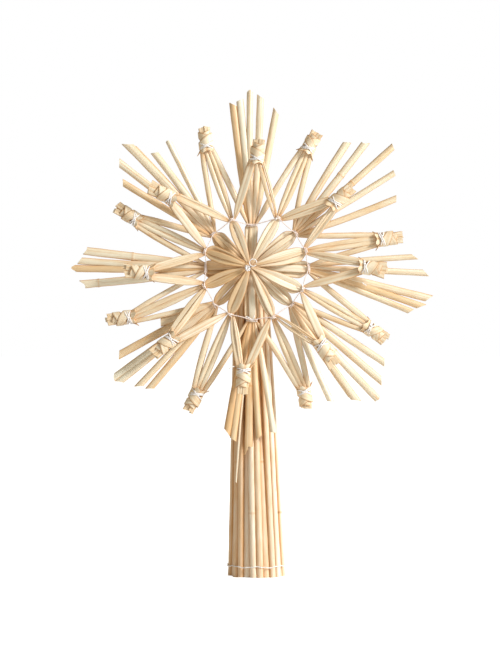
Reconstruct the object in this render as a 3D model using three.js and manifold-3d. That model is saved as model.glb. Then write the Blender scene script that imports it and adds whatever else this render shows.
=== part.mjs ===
// A straw star that stands on a hollow straw sleeve: sixteen petals tied in a ring,
// straws fanned out from each tie, and their ends gathered in sixteen wrapped knots.
// Millimetres, +Z up. The star faces -Y and the sleeve stands on its cut foot at Z = 0.
// Angles are in degrees, counter-clockwise from +X as seen from the front.

import * as THREE from 'three';
import { mergeVertices } from 'three/addons/utils/BufferGeometryUtils.js';
import Module from 'manifold-3d';

const wasm = await Module();
wasm.setup();

// Overall places
const HUB_HEIGHT = 171;
const STAR_PLANE = -8.5;
const GAP = 0.3;
const TOWARDS_VIEWER = new THREE.Vector3(0, -1, 0);

// Rays: direction of each tie, its distance from the hub, and how far it sits before the star's plane.
// A back ray's spikes each have a direction, a length from the hub and the slope of the cut at the end:
// above zero, the side that is clockwise of the spike is the shorter one.
const FRONT_RAYS = [
  { angle: 16.2, tie: 32, forward: 0 },
  { angle: 60, tie: 31, forward: 0 },
  { angle: 111.3, tie: 27.7, forward: 0 },
  { angle: 161.3, tie: 26.2, forward: 0 },
  { angle: 202.7, tie: 27.4, forward: 0 },
  { angle: 247.1, tie: 28.6, forward: 0 },
  { angle: 294.3, tie: 30.6, forward: 0 },
  { angle: 336.3, tie: 31.5, forward: 0 },
];
const BACK_RAYS = [
  {
    angle: 358.1, tie: 32.3, forward: -3,
    spikes: [[344.5, 92, 0.7], [347, 97, 1.1], [350, 100.3, 0.8], [358, 97, -1], [363.5, 91, -1.1]],
  },
  {
    angle: 36.2, tie: 31.2, forward: -3,
    spikes: [[25, 89, 0.4], [33, 95, 0.2], [40, 103, 0.4], [47, 93, -0.8], [52, 87, -0.5]],
  },
  {
    angle: 87.5, tie: 22.9, forward: -3,
    spikes: [[80.5, 87, 0.9], [86.5, 94, 0.6], [90, 97.5, 0], [93.5, 92, -0.3], [96, 90, 0.6]],
  },
  {
    angle: 139, tie: 27.2, forward: -3,
    spikes: [[123, 83, 0.3], [130, 82, 0.5], [135, 95.5, 1], [141.5, 92, -0.7], [146.5, 84, -0.6]],
  },
  {
    angle: 181.3, tie: 24.5, forward: -3,
    spikes: [[174.5, 91, 0.6], [178, 94, 0.6], [180.5, 98.5, -0.4], [186, 92, -1.1]],
  },
  {
    angle: 227.2, tie: 28.7, forward: -3,
    spikes: [[212, 58, 0.3], [214, 87, 0.6], [219.2, 97, 0.6], [221.3, 96, -0.8], [227, 90, -1], [230.5, 87, -0.8]],
  },
  {
    angle: 271.9, tie: 29.5, forward: -1.7,
    spikes: [[262.2, 92, 0.9], [264.4, 95.5, 0.5], [269.5, 103.5, -1.1], [273, 94, -0.7], [278, 92, 0.3]],
  },
  {
    angle: 317.6, tie: 31.2, forward: -3,
    spikes: [[301, 86.5, 0.5], [308.5, 94, 0.9], [314, 102, 0], [319, 96, -0.8], [324.5, 91, -0.6]],
  },
];
const OPPOSITE = 4;

// Petals: straws flattened between the hub, where they cross in layers, and the ties
const HUB_LAYERS = [0.6, 1.8, 3, 4.2];
const HUB_WIDTH = 2.2;
const HUB_THICKNESS = 0.9;
const PETAL_WIDTH = 7;
const PETAL_PEAK_POWER = 1.6;
const PETAL_TIE_WIDTH = 3;
const PETAL_TIE_THICKNESS = 2.5;
const PETAL_DEPTH_POWER = 1.4;
const PETAL_ARCH = 1.6;
const PETAL_GROOVE = 0.7;
const PETAL_SIDES = 6;
const PETAL_STEPS = 12;
const TIE_WIDTH = 4.8;
const TIE_DEPTH = 3.6;
const TIE_LENGTH = 3.4;
const TIE_SIDES = 6;

// Straws fanned out from the ties: squeezed side by side there, full size from half way
const FAN_START = 1;
const BACK_FAN_SPREAD = 4.2;
const FRONT_FAN_SPACING = 1.3;
const SPIKE_SIZES = { width: [0.6, 2.9, 3.3], depth: [2, 3, 3] };
const BACK_SIDE_SIZES = { width: [0.6, 3, 2.4], depth: [2, 2.8, 2.6] };
const FRONT_SIDE_SIZES = { width: [1.2, 4.6, 3.6], depth: [2, 2, 2] };
const FRONT_MIDDLE_SIZES = { width: [1.2, 3.2, 2.4], depth: [2, 2.6, 2] };
const SPIKE_FORWARD = -4;
const LOW_RAY = 6;
const LOW_SPIKE_FORWARD = 2.8;
const FAN_SIDES = 5;

// Places where straws enter the knots, beside the knot's axis
const INNER_KNOT_OFFSET = 2.2;
const OUTER_KNOT_OFFSET = 3.1;
const KNOT_INSET = 0.2;

// Knots: direction and distance of the collar, how far the axis turns from the radius, length,
// and how far the collar and the tip sit before the star's plane
const INNER_KNOTS = [
  { angle: 0, reach: 60, lean: -9, length: 15.3, forward: [5, 6.5] },
  { angle: 37, reach: 55, lean: 3, length: 15.4, forward: [5, 6.5] },
  { angle: 86.5, reach: 56.5, lean: -3, length: 13.7, forward: [5, 6.5] },
  { angle: 138.5, reach: 54.5, lean: 14, length: 15.8, forward: [5, 6.5] },
  { angle: 184, reach: 53.5, lean: -9, length: 16, forward: [5, 6.5] },
  { angle: 223, reach: 55.5, lean: -3, length: 16.4, forward: [5, 6.5] },
  { angle: 266.5, reach: 54, lean: 0, length: 16.2, forward: [6.5, 8.5] },
  { angle: 313, reach: 54.5, lean: -11, length: 17.5, forward: [5, 6.5] },
];
const OUTER_KNOTS = [
  { angle: 12, reach: 71, lean: -6, length: 14.7, forward: [-2, -2] },
  { angle: 64, reach: 70, lean: -4, length: 12.5, forward: [-2, -2] },
  { angle: 110.5, reach: 68, lean: -14, length: 13, forward: [-2, -2] },
  { angle: 158, reach: 65.5, lean: -11, length: 15.2, forward: [-2, -2] },
  { angle: 203.5, reach: 69, lean: -17, length: 16.2, forward: [-2, -2] },
  { angle: 247.5, reach: 73, lean: -5, length: 13.8, forward: [-2, -2] },
  { angle: 294, reach: 72.5, lean: -16, length: 12.5, forward: [-2, -2] },
  { angle: 333, reach: 71, lean: -8, length: 14.4, forward: [-2, -2] },
];
const KNOT_SIDES = 8;
// Each row is a radius, how flat it is from front to back, a place along the knot as a share of its
// length, and the tilt of that edge
const KNOT_PROFILE = [
  { radius: 4.1, flat: 0.85, along: 0, tilt: 0 },
  { radius: 4.6, flat: 0.85, along: 0.08, tilt: 0.1 },
  { radius: 3.1, flat: 0.85, along: 0.15, tilt: 0.1 },
  { radius: 3.1, flat: 0.85, along: 0.26, tilt: 0.15 },
  { radius: 4.3, flat: 0.8, along: 0.33, tilt: 0.25 },
  { radius: 4.1, flat: 0.75, along: 0.6, tilt: -0.3 },
  { radius: 3.3, flat: 0.65, along: 0.68, tilt: -0.2 },
  { radius: 3.7, flat: 0.5, along: 1, tilt: 0.15 },
];

// Sleeve of straws: every third straw runs inward to a second ring at the head
const STEM_FOOT = new THREE.Vector3(3.7, 2.5, 0);
const STEM_HEAD = new THREE.Vector3(0, 6.6, 181);
const STEM_STRAWS = 24;
const STEM_FOOT_RADIUS = 14.35;
const STEM_FOOT_INNER_RADIUS = 13.1;
const STEM_HEAD_RADIUS = 7.5;
const STEM_HEAD_INNER_RADIUS = 3.8;
const STEM_FIRST_ANGLE = -97.5;
const HEAD_STAGGER = 3.75;
const STEM_STRAW_FOOT_RADIUS = 1.7;
const STEM_STRAW_HEAD_RADIUS = 1.3;
const STEM_SIDES = 8;
const STEM_GROUP = 3;

// Threads
const THREAD_RADIUS = 0.3;
const THREAD_SIDES = 4;
const FOOT_THREAD_HEIGHT = 6;
const FOOT_THREAD_RADIUS = 16.6;
const BINDING_HEIGHT = 171;
const BINDING_LENGTH = 4;
const BINDING_RADIUS = 9.4;
const BINDING_THICKNESS = 0.6;
const BINDING_SEGMENTS = 24;
const KNOB_RADIUS = 1.9;
const KNOB_DEPTH = 0.7;
const KNOB_SIDES = 8;
const KNOB_RINGS = 5;
const CURL_RADIUS = 1.7;
const CURL_ANGLE = 45;
const CURL_REACH = 3;
const CURL_SIDES = 8;

const strawMaterial = new THREE.MeshStandardMaterial({ color: 0xe9d3a6, roughness: 0.5, metalness: 0 });
const petalMaterial = new THREE.MeshStandardMaterial({ color: 0xe3c893, roughness: 0.5, metalness: 0 });
const threadMaterial = new THREE.MeshStandardMaterial({ color: 0xf4ece6, roughness: 0.8, metalness: 0 });

// A point of the star from its direction, its distance from the hub and its place in depth
function starPoint(angle, reach, forward) {
  const turn = THREE.MathUtils.degToRad(angle);
  return new THREE.Vector3(
    reach * Math.cos(turn),
    STAR_PLANE - forward,
    HUB_HEIGHT + reach * Math.sin(turn),
  );
}

// A closed mesh with shared vertices, ready to be joined or cut
function solidOf(geometry) {
  geometry.deleteAttribute('normal');
  geometry.deleteAttribute('uv');
  const merged = mergeVertices(geometry, 1e-4);
  const vertProperties = new Float32Array(merged.attributes.position.array);
  const triVerts = new Uint32Array(merged.index.array);
  return new wasm.Manifold(new wasm.Mesh({ numProp: 3, vertProperties, triVerts }));
}

function geometryOf(solid) {
  const { vertProperties, triVerts } = solid.getMesh();
  const geometry = new THREE.BufferGeometry();
  geometry.setAttribute('position', new THREE.BufferAttribute(vertProperties, 3));
  geometry.setIndex(new THREE.BufferAttribute(triVerts, 1));
  geometry.computeVertexNormals();
  return geometry;
}

function joined(solids) {
  return solids.reduce((whole, solid) => whole.add(solid));
}

// A straw laid along a curve. width and depth are functions of the share of its length,
// groove sinks the middle of its front and back, and cut slants its far end.
function strand({ curve, width, depth, sides, steps, groove = 0, cut = 0 }) {
  const geometry = new THREE.CylinderGeometry(1, 1, 1, sides, steps);
  const position = geometry.attributes.position;
  const local = new THREE.Vector3();
  for (let i = 0; i < position.count; i += 1) {
    local.fromBufferAttribute(position, i);
    const share = local.y + 0.5;
    const along = curve.getTangent(share).normalize();
    const across = new THREE.Vector3().crossVectors(along, TOWARDS_VIEWER).normalize();
    const outward = new THREE.Vector3().crossVectors(across, along);
    const sunk = 1 - groove * Math.max(0, 1 - 2 * Math.abs(local.x));
    const point = curve.getPoint(share);
    point.addScaledVector(across, local.x * width(share) / 2);
    point.addScaledVector(outward, local.z * sunk * depth(share) / 2);
    if (share === 1) {
      point.addScaledVector(along, -cut * local.x * width(share) / 2);
    }
    position.setXYZ(i, point.x, point.y, point.z);
  }
  return solidOf(geometry);
}

// A closed ring of thread through a list of points around a centre
function threadRing(points, centre, axis, radius) {
  const geometry = new THREE.TorusGeometry(2, 1, THREAD_SIDES, points.length);
  const position = geometry.attributes.position;
  const local = new THREE.Vector3();
  for (let i = 0; i < position.count; i += 1) {
    local.fromBufferAttribute(position, i);
    const turn = Math.atan2(local.y, local.x) / (2 * Math.PI);
    const index = Math.round((turn + 1) * points.length) % points.length;
    const outward = points[index].clone().sub(centre);
    outward.addScaledVector(axis, -outward.dot(axis)).normalize();
    const point = points[index].clone();
    point.addScaledVector(outward, (Math.hypot(local.x, local.y) - 2) * radius);
    point.addScaledVector(axis, local.z * radius);
    position.setXYZ(i, point.x, point.y, point.z);
  }
  return solidOf(geometry);
}

// The course of the petals through the hub, from one tie to the opposite one
class PetalCurve extends THREE.Curve {
  constructor(first, second, layer) {
    super();
    this.rays = [first, second];
    this.layer = layer;
  }

  getPoint(share) {
    const reach = Math.abs(2 * share - 1);
    const ray = this.rays[share < 0.5 ? 0 : 1];
    const settle = THREE.MathUtils.smoothstep(reach, 0, 1);
    const arch = PETAL_ARCH * Math.sin(Math.PI * reach);
    const forward = THREE.MathUtils.lerp(this.layer, ray.forward, settle) + arch;
    return starPoint(ray.angle, reach * ray.tie, forward);
  }
}

function petals(first, second, layer) {
  const width = (share) => {
    const reach = Math.abs(2 * share - 1);
    const foot = THREE.MathUtils.lerp(HUB_WIDTH, PETAL_TIE_WIDTH, reach);
    return foot + (PETAL_WIDTH - foot) * Math.sin(Math.PI * reach ** PETAL_PEAK_POWER);
  };
  const depth = (share) => {
    const reach = Math.abs(2 * share - 1);
    return THREE.MathUtils.lerp(HUB_THICKNESS, PETAL_TIE_THICKNESS, reach ** PETAL_DEPTH_POWER);
  };
  const curve = new PetalCurve(first, second, layer);
  return strand({ curve, width, depth, sides: PETAL_SIDES, steps: PETAL_STEPS, groove: PETAL_GROOVE });
}

// The squeezed waist where thread holds one ray's straws together
function tie(ray) {
  const curve = new THREE.LineCurve3(
    starPoint(ray.angle, ray.tie - TIE_LENGTH / 2, ray.forward),
    starPoint(ray.angle, ray.tie + TIE_LENGTH / 2, ray.forward),
  );
  const width = () => TIE_WIDTH;
  const depth = () => TIE_DEPTH;
  return strand({ curve, width, depth, sides: TIE_SIDES, steps: 1 });
}

// A knot's collar and tip, its axis and the direction across it in the star's plane
function knotFrame(knot) {
  const [baseForward, tipForward] = knot.forward;
  const base = starPoint(knot.angle, knot.reach, baseForward);
  const step = starPoint(knot.angle + knot.lean, knot.length, tipForward - baseForward);
  const axis = step.sub(starPoint(0, 0, 0)).normalize();
  const side = new THREE.Vector3().crossVectors(TOWARDS_VIEWER, axis).normalize();
  return { base, axis, side };
}

function knotEntry(knot, offset) {
  const { base, axis, side } = knotFrame(knot);
  return base.addScaledVector(axis, KNOT_INSET).addScaledVector(side, offset);
}

// A size given at the start, the middle and the end of a straw
function sized([start, middle, end]) {
  return (share) => (share < 0.5
    ? THREE.MathUtils.lerp(start, middle, 2 * share)
    : THREE.MathUtils.lerp(middle, end, 2 * share - 1));
}

// A straw from its place in the tie, counted sideways from the ray, to its end
function fanStraw(ray, sideways, end, sizes, cut = 0) {
  const turn = THREE.MathUtils.degToRad(ray.angle);
  const start = starPoint(ray.angle, ray.tie + FAN_START, ray.forward);
  start.x -= sideways * Math.sin(turn);
  start.z += sideways * Math.cos(turn);
  const curve = new THREE.LineCurve3(start, end);
  const width = sized(sizes.width);
  const depth = sized(sizes.depth);
  return strand({ curve, width, depth, sides: FAN_SIDES, steps: 2, cut });
}

// One front ray's straws: two go to the inner knots beside it, one to the outer knot in line with it
function frontFan(index) {
  const ray = FRONT_RAYS[index];
  const before = knotEntry(INNER_KNOTS[index], INNER_KNOT_OFFSET);
  const after = knotEntry(INNER_KNOTS[(index + 1) % INNER_KNOTS.length], -INNER_KNOT_OFFSET);
  const middle = knotEntry(OUTER_KNOTS[index], 0);
  return [
    fanStraw(ray, -FRONT_FAN_SPACING, before, FRONT_SIDE_SIZES),
    fanStraw(ray, 0, middle, FRONT_MIDDLE_SIZES),
    fanStraw(ray, FRONT_FAN_SPACING, after, FRONT_SIDE_SIZES),
  ];
}

// One back ray's straws: two go to the outer knots beside it, the spikes between them end free
function backFan(index) {
  const ray = BACK_RAYS[index];
  const previous = (index + OUTER_KNOTS.length - 1) % OUTER_KNOTS.length;
  const before = knotEntry(OUTER_KNOTS[previous], OUTER_KNOT_OFFSET);
  const after = knotEntry(OUTER_KNOTS[index], -OUTER_KNOT_OFFSET);
  const edge = BACK_FAN_SPREAD / 2;
  const spacing = BACK_FAN_SPREAD / (ray.spikes.length + 1);
  const forward = index === LOW_RAY ? LOW_SPIKE_FORWARD : SPIKE_FORWARD;
  const spikes = ray.spikes.map(([angle, reach, cut], order) => {
    const sideways = (order + 1) * spacing - edge;
    const end = starPoint(angle, reach, forward);
    return fanStraw(ray, sideways, end, SPIKE_SIZES, cut);
  });
  return [
    fanStraw(ray, -edge, before, BACK_SIDE_SIZES),
    fanStraw(ray, edge, after, BACK_SIDE_SIZES),
    ...spikes,
  ];
}

// A knot: flared collar, thread neck, strip wound on the slant and a tuft of cut ends
function knotSolid(knot, grow) {
  const rows = KNOT_PROFILE.map((row) => new THREE.Vector2(row.radius + grow, row.along * knot.length));
  rows[0].y -= grow;
  rows[rows.length - 1].y += grow;
  const first = rows[0];
  const last = rows[rows.length - 1];
  const outline = [new THREE.Vector2(0, first.y), ...rows, new THREE.Vector2(0, last.y)];
  const tilts = [0, ...KNOT_PROFILE.map((row) => row.tilt), 0];
  const flats = [1, ...KNOT_PROFILE.map((row) => row.flat), 1];
  const geometry = new THREE.LatheGeometry(outline, KNOT_SIDES);
  const { base, axis, side } = knotFrame(knot);
  const outward = new THREE.Vector3().crossVectors(side, axis);
  const position = geometry.attributes.position;
  const local = new THREE.Vector3();
  for (let i = 0; i < position.count; i += 1) {
    local.fromBufferAttribute(position, i);
    const row = i % outline.length;
    const point = base.clone();
    point.addScaledVector(axis, local.y + tilts[row] * local.x);
    point.addScaledVector(side, local.x);
    point.addScaledVector(outward, local.z * flats[row]);
    position.setXYZ(i, point.x, point.y, point.z);
  }
  return solidOf(geometry);
}

// One straw of the sleeve, cut level at both ends. The last of each group of three is an inner one,
// and the other two spread at the head.
function stemStraw(index) {
  const place = index % STEM_GROUP;
  const inner = place === STEM_GROUP - 1;
  const stagger = [-HEAD_STAGGER, HEAD_STAGGER, 0][place];
  const footAngle = STEM_FIRST_ANGLE + index * 360 / STEM_STRAWS;
  const headAngle = footAngle + stagger;
  const foot = ringPoint(STEM_FOOT, footAngle, inner ? STEM_FOOT_INNER_RADIUS : STEM_FOOT_RADIUS);
  const head = ringPoint(STEM_HEAD, headAngle, inner ? STEM_HEAD_INNER_RADIUS : STEM_HEAD_RADIUS);
  const geometry = new THREE.CylinderGeometry(1, 1, 1, STEM_SIDES, 1);
  geometry.rotateX(Math.PI / 2);
  const position = geometry.attributes.position;
  const local = new THREE.Vector3();
  for (let i = 0; i < position.count; i += 1) {
    local.fromBufferAttribute(position, i);
    const share = local.z + 0.5;
    const radius = THREE.MathUtils.lerp(STEM_STRAW_FOOT_RADIUS, STEM_STRAW_HEAD_RADIUS, share);
    const point = foot.clone().lerp(head, share);
    position.setXYZ(i, point.x + local.x * radius, point.y + local.y * radius, point.z);
  }
  return solidOf(geometry);
}

function ringPoint(centre, angle, radius) {
  const turn = THREE.MathUtils.degToRad(angle);
  return new THREE.Vector3(
    centre.x + radius * Math.cos(turn),
    centre.y + radius * Math.sin(turn),
    centre.z,
  );
}

function stemAxisAt(height) {
  return STEM_FOOT.clone().lerp(STEM_HEAD, height / STEM_HEAD.z);
}

function ringThread() {
  const places = [];
  for (let i = 0; i < FRONT_RAYS.length; i += 1) {
    places.push(BACK_RAYS[i], FRONT_RAYS[i]);
  }
  const before = TIE_DEPTH / 2 + GAP + THREAD_RADIUS;
  const points = places.map((ray) => starPoint(ray.angle, ray.tie, ray.forward + before));
  return threadRing(points, starPoint(0, 0, 0), TOWARDS_VIEWER, THREAD_RADIUS);
}

function footThread() {
  const centre = stemAxisAt(FOOT_THREAD_HEIGHT);
  const points = [];
  for (let i = 0; i < STEM_STRAWS; i += 1) {
    points.push(ringPoint(centre, i * 360 / STEM_STRAWS, FOOT_THREAD_RADIUS));
  }
  return threadRing(points, centre, new THREE.Vector3(0, 0, 1), THREAD_RADIUS);
}

// Thread wound round the sleeve's head, where it carries the hub
function stemBinding() {
  const outline = [
    new THREE.Vector2(BINDING_RADIUS, -BINDING_LENGTH / 2),
    new THREE.Vector2(BINDING_RADIUS + BINDING_THICKNESS, -BINDING_LENGTH / 2),
    new THREE.Vector2(BINDING_RADIUS + BINDING_THICKNESS, BINDING_LENGTH / 2),
    new THREE.Vector2(BINDING_RADIUS, BINDING_LENGTH / 2),
    new THREE.Vector2(BINDING_RADIUS, -BINDING_LENGTH / 2),
  ];
  const geometry = new THREE.LatheGeometry(outline, BINDING_SEGMENTS);
  geometry.rotateX(Math.PI / 2);
  const centre = stemAxisAt(BINDING_HEIGHT);
  geometry.translate(centre.x, centre.y, centre.z);
  return solidOf(geometry);
}

// The knot before the hub, with the curl of its loose end
function centreThread() {
  const surface = HUB_LAYERS[HUB_LAYERS.length - 1] + HUB_THICKNESS / 2 + GAP;
  const knob = new THREE.SphereGeometry(1, KNOB_SIDES, KNOB_RINGS);
  knob.scale(KNOB_RADIUS, KNOB_DEPTH, KNOB_RADIUS);
  const middle = starPoint(0, 0, surface + KNOB_DEPTH);
  knob.translate(middle.x, middle.y, middle.z);
  const curlCentre = starPoint(CURL_ANGLE, CURL_REACH, surface + KNOB_DEPTH);
  const points = [];
  for (let i = 0; i < CURL_SIDES; i += 1) {
    const turn = 2 * Math.PI * i / CURL_SIDES;
    const across = new THREE.Vector3(Math.cos(turn), 0, Math.sin(turn));
    points.push(curlCentre.clone().addScaledVector(across, CURL_RADIUS));
  }
  const curl = threadRing(points, curlCentre, TOWARDS_VIEWER, THREAD_RADIUS);
  return solidOf(knob).add(curl);
}

const star = new THREE.Group();

function addPart(name, solid, material) {
  const mesh = new THREE.Mesh(geometryOf(solid), material);
  mesh.name = name;
  star.add(mesh);
}

const knotCutters = joined([...INNER_KNOTS, ...OUTER_KNOTS].map((knot) => knotSolid(knot, GAP)));

// A front or back bundle runs from one ray through the hub to the opposite one
function addBundle(name, rays, fan, index, layer) {
  const first = rays[index];
  const second = rays[index + OPPOSITE];
  const pieces = [
    petals(first, second, layer),
    tie(first),
    tie(second),
    ...fan(index),
    ...fan(index + OPPOSITE),
  ];
  addPart(name, joined(pieces).subtract(knotCutters), petalMaterial);
}

for (let i = 0; i < HUB_LAYERS.length; i += 1) {
  addBundle(`front_bundle_${i + 1}`, FRONT_RAYS, frontFan, i, HUB_LAYERS[i]);
  addBundle(`back_bundle_${i + 1}`, BACK_RAYS, backFan, i, -HUB_LAYERS[i]);
}
for (let i = 0; i < INNER_KNOTS.length; i += 1) {
  addPart(`inner_knot_${i + 1}`, knotSolid(INNER_KNOTS[i], 0), strawMaterial);
  addPart(`outer_knot_${i + 1}`, knotSolid(OUTER_KNOTS[i], 0), strawMaterial);
}
for (let i = 0; i < STEM_STRAWS; i += 1) {
  addPart(`stem_straw_${String(i + 1).padStart(2, '0')}`, stemStraw(i), strawMaterial);
}
addPart('ring_thread', ringThread(), threadMaterial);
addPart('centre_thread', centreThread(), threadMaterial);
addPart('stem_binding', stemBinding(), threadMaterial);
addPart('foot_thread', footThread(), threadMaterial);

export default star;
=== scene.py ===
"""A straw star on a hollow straw sleeve, in natural straw and off-white thread.

Sizes are in millimetres until a mesh is made. Angles are in degrees, counter-clockwise from +X as seen
from the front. The star faces -Y.
"""
import math
import random

import bpy
import numpy as np
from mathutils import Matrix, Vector


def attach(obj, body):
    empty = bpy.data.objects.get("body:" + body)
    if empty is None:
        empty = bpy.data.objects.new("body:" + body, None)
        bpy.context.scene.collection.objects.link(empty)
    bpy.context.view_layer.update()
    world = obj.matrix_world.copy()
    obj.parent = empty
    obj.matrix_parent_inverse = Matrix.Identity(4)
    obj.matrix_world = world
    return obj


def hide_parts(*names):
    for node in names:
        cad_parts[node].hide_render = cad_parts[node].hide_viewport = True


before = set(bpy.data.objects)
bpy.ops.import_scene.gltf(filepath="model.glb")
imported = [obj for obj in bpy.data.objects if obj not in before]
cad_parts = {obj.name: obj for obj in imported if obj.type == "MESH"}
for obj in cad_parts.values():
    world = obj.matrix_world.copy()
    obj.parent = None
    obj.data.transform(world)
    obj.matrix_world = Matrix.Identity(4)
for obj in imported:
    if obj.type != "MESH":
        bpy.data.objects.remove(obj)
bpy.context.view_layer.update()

MM = 0.001
FRONT = np.array((0.0, -1.0, 0.0))

# Places of the star and its rays, as in the solids
HUB_HEIGHT = 171.0
STAR_PLANE = -8.5
# A bundle holds a ray and the one this many places on, across the hub
OPPOSITE = 4
# How far before the star's plane each front bundle crosses the hub, and a back bundle behind it
HUB_LAYERS = (2.84, 3.32, 3.8, 4.28)
# How far a tie and the spikes' tips sit before the star's plane, where a ray says no other
FRONT_FORWARD = 0.0
BACK_FORWARD = -3.0
SPIKE_FORWARD = -4.0
# A ray's petal is made of strips, from the lowest to the topmost. Each has its place beside the ray's
# line, its width, its tone from pale to tan, and the form of its outline where it isn't a leaf's. The
# tones also paint light and shade: strips on the left, turned from the light, are darker, and those on the
# right and the sunken bands at top and bottom are paler. A front ray's sides name the styles of its
# straws to the inner knots before and after it.
FRONT_RAYS = (
    {"angle": 16.2, "tie": 32.0, "sides": ("pair", "pair"), "strips": (
        (-2.9, 3.6, -0.3, "corner"), (-0.4, 3.0, 0.2), (1.6, 3.7, -0.9))},
    {"angle": 60.0, "tie": 31.0, "sides": ("broad pair", "thin pair"), "strips": (
        (0, 2.0, 0.5), (1.7, 3.3, -0.6), (-1.5, 3.4, -0.8))},
    {"angle": 111.3, "tie": 27.7, "sides": ("wide", "pair"), "strips": (
        (1.9, 3.0, 0.4), (-1.4, 3.6, -0.4))},
    {"angle": 161.3, "tie": 26.2, "sides": ("wide", "pair"), "strips": (
        (-2.7, 3.4, 1.0, "corner"), (2.0, 3.8, 1.3), (-0.6, 3.2, 1.5))},
    {"angle": 202.7, "tie": 27.4, "sides": ("pair", "broad pair"), "strips": (
        (-2.0, 3.4, 1.4), (1.5, 4.2, 1.5))},
    {"angle": 247.1, "tie": 28.6, "sides": ("wide", "pair"), "strips": (
        (-2.1, 3.3, 1.2), (1.3, 4.6, 0.9))},
    {"angle": 294.3, "tie": 30.6, "sides": ("wide", "thin pair"), "strips": (
        (-2.1, 2.4, 0.3), (2.1, 2.8, 0), (0.1, 2.9, -0.6))},
    {"angle": 336.3, "tie": 31.5, "sides": ("wide", "wide"), "strips": (
        (-2.9, 2.4, 0.1, "corner"), (1.9, 3.6, -0.8), (-1.2, 3.6, -0.9))},
)
# Each spike has a direction, a length from the hub, the slope of its cut, its tone and its width. Some tones
# paint light: a spike in a knot's shadow is made paler
BACK_RAYS = (
    {"angle": 358.1, "tie": 32.3, "strips": (
        (-3.3, 3.4, -0.6, "corner"), (2.9, 2.8, -1.0, "band"), (-0.2, 4.4, -1.0, "band")),
     "spikes": ((344.5, 92, 0.7, 0.4, 3.1), (347, 97, 1.1, 1.4, 3.5), (350, 100.3, 0.8, 0, 3.9),
                (358, 97, -1, -0.6, 3.3), (363.5, 91, -1.1, 0.1, 3.0))},
    {"angle": 36.2, "tie": 31.2, "strips": (
        (2.7, 3.2, -0.8, "corner"), (-2.4, 3.4, -0.9), (0.3, 3.2, -0.4)),
     "spikes": ((25, 89, 0.4, 0.5, 3.5), (33, 95, 0.2, -0.4, 3.2), (40, 103, 0.4, 0.8, 3.4),
                (47, 93, -0.8, -0.1, 3.8), (52, 87, -0.5, 0, 3.8))},
    {"angle": 87.5, "tie": 22.9, "strips": (
        (0.4, 2.2, 0.6, "band"), (2.2, 3.3, -0.2, "band"), (-1.6, 3.9, -1.0, "band")),
     "spikes": ((80.5, 87, 0.9, -0.2, 3.5), (86.5, 94, 0.6, -0.3, 3.6), (90, 97.5, 0, -0.5, 3.2),
                (93.5, 92, -0.3, -0.8, 3.7), (96, 90, 0.6, 1.5, 3.7))},
    {"angle": 139.0, "tie": 27.2, "strips": (
        (-2.7, 3.0, 0.3, "corner"), (2.9, 2.6, 0.9), (-0.9, 2.7, 0.6),
        (1.1, 2.6, 1.2)),
     "spikes": ((123, 83, 0.3, -1, 3.1), (130, 82, 0.5, -0.6, 3.6), (135, 95.5, 1, -0.3, 4.3),
                (141.5, 92, -0.7, -0.3, 3.8), (146.5, 84, -0.6, 0.9, 3.5))},
    {"angle": 181.3, "tie": 24.5, "strips": (
        (4.4, 2.6, 1.5, "band"), (0.2, 2.8, 1.2, "band"), (2.3, 3.5, 1.5, "band"), (-2.2, 3.7, 1.5, "band")),
     "spikes": ((174.5, 91, 0.6, -0.4, 4.2), (178, 94, 0.6, -0.6, 3.6), (180.5, 98.5, -0.4, 1.5, 3.6),
                (186, 92, -1.1, -0.6, 4.2))},
    {"angle": 227.2, "tie": 28.7, "strips": (
        (2.1, 3.6, 1.2), (-1.8, 4.0, 1.3)),
     "spikes": ((212, 58, 0.3, 0.1, 4.2), (214, 87, 0.6, 1.2, 4.1), (219.2, 97, 0.6, -0.7, 3.7),
                (221.3, 96, -0.8, -0.1, 3.7), (227, 90, -1, 0.3, 3.3), (230.5, 87, -0.8, 0.9, 3.7))},
    {"angle": 271.9, "tie": 29.5, "forward": -1.7, "spikes forward": 2.8, "strips": (
        (3.2, 2.2, 0.6, "band"), (-2.8, 2.7, 0.6, "band"), (0.5, 4.4, -0.8, "band")),
     "spikes": ((262.2, 92, 0.9, 1.5, 3.8), (264.4, 95.5, 0.5, 1.1, 3.6), (269.5, 99.5, -1.9, 1.3, 4.3),
                (273, 94, -0.7, 1.3, 3.2), (278, 92, 0.3, -0.5, 3.2))},
    {"angle": 317.6, "tie": 31.2, "strips": (
        (2.5, 3.0, -0.8), (-2.5, 3.0, -0.6), (0, 2.9, -1.0)),
     "spikes": ((301, 86.5, 0.5, -0.8, 3.3), (308.5, 94, 0.9, 0.3, 3.9), (314, 102, 0, -0.3, 3.7),
                (319, 96, -0.8, -0.2, 3.8), (324.5, 91, -0.6, -0.2, 3.6))},
)
for rays, forward in ((FRONT_RAYS, FRONT_FORWARD), (BACK_RAYS, BACK_FORWARD)):
    for ray in rays:
        ray.setdefault("forward", forward)
# Spikes whose ends are drawn to a rounded point, by direction
SPIKE_POINTS = {90: 0.8, 123: 0.5, 180.5: 1.5, 219.2: 0.4, 314: 0.9}
# Thin split slivers: the back ray they belong to, a direction, a length from the hub, a width and a tone
SLIVERS = (
    (3, 133.5, 92, 1.3, 0.3), (5, 216.2, 70, 1.2, 0.8), (6, 266.3, 118.7, 1.2, -0.6),
    (7, 307.3, 90.8, 1.6, 0.1),
)
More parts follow.
